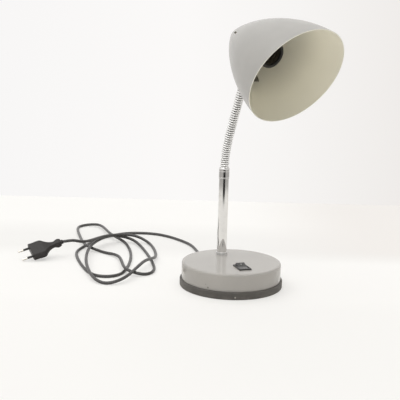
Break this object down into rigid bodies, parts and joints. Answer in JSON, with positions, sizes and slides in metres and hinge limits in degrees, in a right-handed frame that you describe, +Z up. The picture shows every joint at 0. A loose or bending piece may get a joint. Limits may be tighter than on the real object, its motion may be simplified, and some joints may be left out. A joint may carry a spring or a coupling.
{
  "type": "gooseneck desk lamp",
  "caption": "Desk lamp: weighted round base with rocker switch, chrome pole, flexible coil neck, bell shade over an E27 holder, cord and plug",
  "frame": {"origin": "centre of the base's underside, on the surface it stands on", "axes": "+Z up, -Y to the front, +X to the right seen from the front"},
  "size_m": [0.4081, 0.5927, 0.3964],
  "materials": {
    "base_paint": "semi-gloss warm grey enamel",
    "shade_paint": "spun aluminium, semi-gloss warm grey enamel",
    "ring_rubber": "dull soft plastic",
    "iron": "rough, dark",
    "zinc_steel": "zinc plated",
    "black_plastic": "fine grained black",
    "black_bakelite": "moulded bakelite",
    "brass": "plain turned",
    "chrome": "polished chrome plate",
    "ceramic": "unglazed ceramic",
    "cord_sheath": "smooth PVC"
  },
  "bodies": {
    "root": {"base_shell": "base_paint", "base_weight": "iron", "foot_ring": "ring_rubber", "bottom_cover": "iron", "cover_screws": "zinc_steel", "spacer_posts": "zinc_steel", "switch_housing": "black_plastic", "switch_tabs": "brass", "pole_tube": "chrome", "pole_foot": "chrome", "pole_bush": "brass", "base_nipple": "brass", "base_nut": "brass", "base_washer": "zinc_steel", "collar": "chrome", "neck_root": "chrome", "strain_relief": "black_plastic", "cord_clamp": "black_plastic", "clamp_screws": "zinc_steel", "base_lead": "cord_sheath", "switch_wires": "cord_sheath", "pole_lead": "cord_sheath", "cord": "cord_sheath", "plug_body": "black_plastic", "plug_sleeves": "black_plastic", "plug_pins": "brass"},
    "link_01": {"neck_link_01": "chrome"},
    "link_02": {"neck_link_02": "chrome"},
    "link_03": {"neck_link_03": "chrome"},
    "link_04": {"neck_link_04": "chrome"},
    "link_05": {"neck_link_05": "chrome"},
    "link_06": {"neck_link_06": "chrome"},
    "link_07": {"neck_link_07": "chrome"},
    "link_08": {"neck_link_08": "chrome"},
    "link_09": {"neck_link_09": "chrome"},
    "link_10": {"neck_link_10": "chrome"},
    "link_11": {"neck_link_11": "chrome"},
    "head": {"neck_tip": "chrome", "neck_ferrule": "zinc_steel", "neck_nut": "brass", "shade": "shade_paint", "bracket": "zinc_steel", "holder_nipple": "brass", "holder_nut": "brass", "holder_cap": "black_bakelite", "holder_body": "black_bakelite", "holder_core": "ceramic", "socket_shell": "brass", "centre_contact": "brass", "head_lead": "cord_sheath"},
    "rocker": {"switch_rocker": "black_plastic"}
  },
  "joints": [
    {"name": "bend_01", "type": "hinge", "parent": "root", "child": "link_01", "pos_m": [0, 0.043, 0.1775], "axis": [0.9781, 0.2079, 0], "range_deg": [-13, 8]},
    {"name": "sway_01", "type": "hinge", "parent": "link_01", "child": "link_02", "pos_m": [0.00032, 0.04148, 0.19041], "axis": [-0.2049, 0.9642, 0.1683], "range_deg": [-13, 13]},
    {"name": "bend_02", "type": "hinge", "parent": "link_02", "child": "link_03", "pos_m": [0.00091, 0.03873, 0.2031], "axis": [0.9781, 0.2079, 0], "range_deg": [-13, 8]},
    {"name": "sway_02", "type": "hinge", "parent": "link_03", "child": "link_04", "pos_m": [0.00169, 0.03503, 0.21554], "axis": [-0.1972, 0.9279, 0.3163], "range_deg": [-13, 13]},
    {"name": "bend_03", "type": "hinge", "parent": "link_04", "child": "link_05", "pos_m": [0.00262, 0.03069, 0.22776], "axis": [0.9781, 0.2079, 0], "range_deg": [-13, 8]},
    {"name": "sway_03", "type": "hinge", "parent": "link_05", "child": "link_06", "pos_m": [0.00363, 0.02595, 0.23982], "axis": [-0.1925, 0.9057, 0.3776], "range_deg": [-13, 13]},
    {"name": "bend_04", "type": "hinge", "parent": "link_06", "child": "link_07", "pos_m": [0.00466, 0.02108, 0.25183], "axis": [0.9781, 0.2079, 0], "range_deg": [-13, 8]},
    {"name": "sway_04", "type": "hinge", "parent": "link_07", "child": "link_08", "pos_m": [0.00569, 0.01622, 0.26384], "axis": [-0.1921, 0.9037, 0.3827], "range_deg": [-13, 13]},
    {"name": "bend_05", "type": "hinge", "parent": "link_08", "child": "link_09", "pos_m": [0.00673, 0.01135, 0.27585], "axis": [0.9781, 0.2079, 0], "range_deg": [-13, 8]},
    {"name": "sway_05", "type": "hinge", "parent": "link_09", "child": "link_10", "pos_m": [0.00776, 0.00648, 0.28786], "axis": [-0.1921, 0.9037, 0.3827], "range_deg": [-13, 13]},
    {"name": "bend_06", "type": "hinge", "parent": "link_10", "child": "link_11", "pos_m": [0.0088, 0.00162, 0.29987], "axis": [0.9781, 0.2079, 0], "range_deg": [-13, 8]},
    {"name": "sway_06", "type": "hinge", "parent": "link_11", "child": "head", "pos_m": [0.00983, -0.00325, 0.31188], "axis": [-0.1921, 0.9037, 0.3827], "range_deg": [-13, 13]},
    {"name": "rocker_tilt", "type": "hinge", "parent": "root", "child": "rocker", "pos_m": [0.0024, -0.0385, 0.036], "axis": [-1, 0, 0], "range_deg": [0, 22]}
  ],
  "couplings": [
    {"joint": "bend_02", "follows": "bend_01", "ratio": 1},
    {"joint": "sway_02", "follows": "sway_01", "ratio": 1},
    {"joint": "bend_03", "follows": "bend_01", "ratio": 1},
    {"joint": "sway_03", "follows": "sway_01", "ratio": 1},
    {"joint": "bend_04", "follows": "bend_01", "ratio": 1},
    {"joint": "sway_04", "follows": "sway_01", "ratio": 1},
    {"joint": "bend_05", "follows": "bend_01", "ratio": 1},
    {"joint": "sway_05", "follows": "sway_01", "ratio": 1},
    {"joint": "bend_06", "follows": "bend_01", "ratio": 1},
    {"joint": "sway_06", "follows": "sway_01", "ratio": 1}
  ]
}
